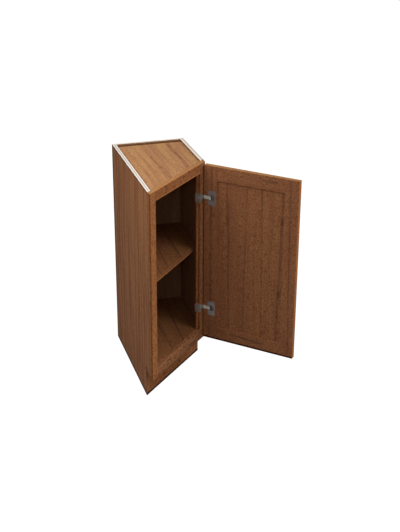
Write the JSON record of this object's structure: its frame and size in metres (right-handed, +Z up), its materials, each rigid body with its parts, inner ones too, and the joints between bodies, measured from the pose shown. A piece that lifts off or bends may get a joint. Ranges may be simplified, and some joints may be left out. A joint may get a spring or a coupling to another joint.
{
  "type": "angled base end cabinet",
  "caption": "Base cabinet for the end of a run: slanted front between a deep and a shallow side, framed door on cup hinges, lift-off shelf and recessed toe kick.",
  "frame": {"origin": "back left corner of the cabinet on the floor, where the wall meets the deep left side", "axes": "+X to the right along the wall, +Y towards the wall, +Z up; the slanted front faces -Y and +X"},
  "size_m": [0.5859, 0.6096, 0.8763],
  "materials": {
    "stained_hardwood": "satin lacquer over brown stain",
    "stained_panel": "satin lacquer over brown stain",
    "stained_deck": "thin stain, unlacquered",
    "stained_interior": "satin lacquer over dark brown stain",
    "edge_band": "satin veneer band",
    "plain_wood": "raw",
    "hinge_metal": "nickel plated",
    "screw_metal": "zinc plated",
    "clip_metal": "nickel plated"
  },
  "bodies": {
    "cabinet": {"left_side_panel": "stained_panel", "right_side_panel": "stained_panel", "back_panel": "stained_interior", "top_deck": "stained_deck", "bottom_deck": "stained_interior", "toe_kick_board": "stained_panel", "glue_blocks": "plain_wood", "frame_left_stile": "stained_hardwood", "frame_right_stile": "stained_hardwood", "frame_top_rail": "stained_hardwood", "frame_bottom_rail": "stained_hardwood", "shelf_clips": "clip_metal", "hinge_upper_base": "hinge_metal", "hinge_lower_base": "hinge_metal", "hinge_upper_pin": "hinge_metal", "hinge_lower_pin": "hinge_metal", "hinge_base_screws": "screw_metal"},
    "door": {"door_hinge_stile": "stained_hardwood", "door_free_stile": "stained_hardwood", "door_top_rail": "stained_hardwood", "door_bottom_rail": "stained_hardwood", "door_center_panel": "stained_panel", "hinge_upper_arm": "hinge_metal", "hinge_lower_arm": "hinge_metal", "hinge_upper_cup": "hinge_metal", "hinge_lower_cup": "hinge_metal", "hinge_cup_screws": "screw_metal", "hinge_adjusting_screws": "screw_metal"},
    "shelf": {"shelf_board": "stained_interior", "shelf_edge_band": "edge_band"}
  },
  "joints": [
    {"name": "door_hinge", "type": "hinge", "parent": "cabinet", "child": "door", "pos_m": [0.29364, -0.32444, 0.4978], "axis": [0, 0, 1], "range_deg": [-90, 15]},
    {"name": "shelf_lift", "type": "slide", "parent": "cabinet", "child": "shelf", "axis": [0, 0, 1], "range_m": [0, 0.34]}
  ]
}
